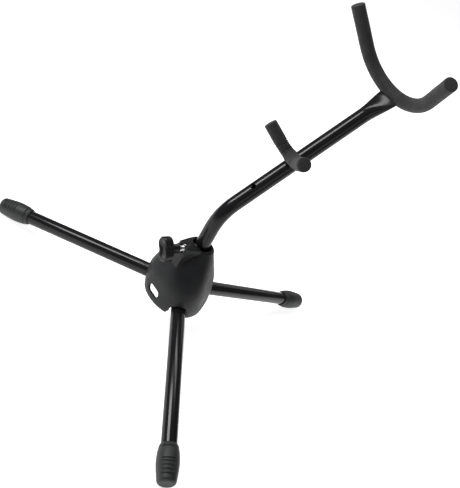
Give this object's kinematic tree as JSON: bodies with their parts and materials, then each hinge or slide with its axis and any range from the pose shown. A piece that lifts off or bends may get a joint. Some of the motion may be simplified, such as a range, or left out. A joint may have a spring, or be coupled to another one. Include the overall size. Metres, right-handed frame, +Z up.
{
  "type": "saxophone stand",
  "caption": "Folding saxophone stand: hub with fold-down legs, bent arm with clamp screw, padded U yoke for the bell and padded peg fork for the body.",
  "frame": {"origin": "centre of the footprint box, on the floor", "axes": "+Z up, +X the way the arm leans (over the right leg), +Y to the left when looking along +X"},
  "size_m": [0.3548, 0.4074, 0.394],
  "materials": {
    "black_enamel": "smooth gloss black enamel",
    "hub_plastic": "charcoal moulded plastic with a fine matte texture",
    "foot_rubber": "matte dark grey rubber",
    "foam": "matte black foam with a fine open grain",
    "bare_steel": "plated steel, lightly brushed",
    "black_plastic": "satin black plastic",
    "liner_plastic": "plain dark nylon"
  },
  "bodies": {
    "hub": {"hub_shell": "hub_plastic", "clamp_nut": "bare_steel", "leg_rivet_right": "bare_steel", "leg_rivet_left": "bare_steel", "leg_rivet_front": "bare_steel"},
    "leg_right": {"leg_tube_right": "black_enamel", "leg_plug_right": "liner_plastic", "foot_right": "foot_rubber"},
    "leg_left": {"leg_tube_left": "black_enamel", "leg_plug_left": "liner_plastic", "foot_left": "foot_rubber"},
    "leg_front": {"leg_tube_front": "black_enamel", "leg_plug_front": "liner_plastic", "foot_front": "foot_rubber"},
    "arm_guide": {"arm_guide_bush": "liner_plastic"},
    "arm": {"arm_tube": "black_enamel", "arm_end_plug": "liner_plastic", "yoke_rod": "bare_steel", "yoke_sleeve": "foam"},
    "peg": {"peg_spigot": "bare_steel", "peg_fork_rod": "bare_steel", "peg_sleeve_left": "foam", "peg_sleeve_right": "foam"},
    "clamp_pad_body": {"clamp_pad": "liner_plastic"},
    "clamp_screw_body": {"clamp_screw": "bare_steel", "clamp_knob": "black_plastic"}
  },
  "joints": [
    {"name": "leg_right_fold", "type": "hinge", "parent": "hub", "child": "leg_right", "pos_m": [-0.03434, 0, 0.05668], "axis": [0, 1, 0], "range_deg": [0, 77]},
    {"name": "leg_left_fold", "type": "hinge", "parent": "hub", "child": "leg_left", "pos_m": [-0.06503, 0.01772, 0.05668], "axis": [-0.866, -0.5, 0], "range_deg": [0, 77]},
    {"name": "leg_front_fold", "type": "hinge", "parent": "hub", "child": "leg_front", "pos_m": [-0.06503, -0.01772, 0.05668], "axis": [0.866, -0.5, 0], "range_deg": [0, 77]},
    {"name": "arm_turn", "type": "hinge", "parent": "hub", "child": "arm_guide", "pos_m": [-0.0548, 0, 0.0754], "axis": [0, 0, 1], "continuous": true},
    {"name": "arm_lift", "type": "slide", "parent": "arm_guide", "child": "arm", "axis": [0, 0, 1], "range_m": [0, 0.03]},
    {"name": "peg_pull", "type": "slide", "parent": "arm", "child": "peg", "axis": [-0.7314, 0, 0.682], "range_m": [0, 0.02]},
    {"name": "pad_press", "type": "slide", "parent": "hub", "child": "clamp_pad_body", "axis": [-1, 0, 0], "range_m": [0, 0.002]},
    {"name": "knob_turn", "type": "hinge", "parent": "clamp_pad_body", "child": "clamp_screw_body", "pos_m": [-0.0673, 0, 0.1164], "axis": [-1, 0, 0], "range_deg": [0, 720]}
  ],
  "couplings": [
    {"joint": "pad_press", "follows": "knob_turn", "m_per_rad": 0.00015915}
  ]
}
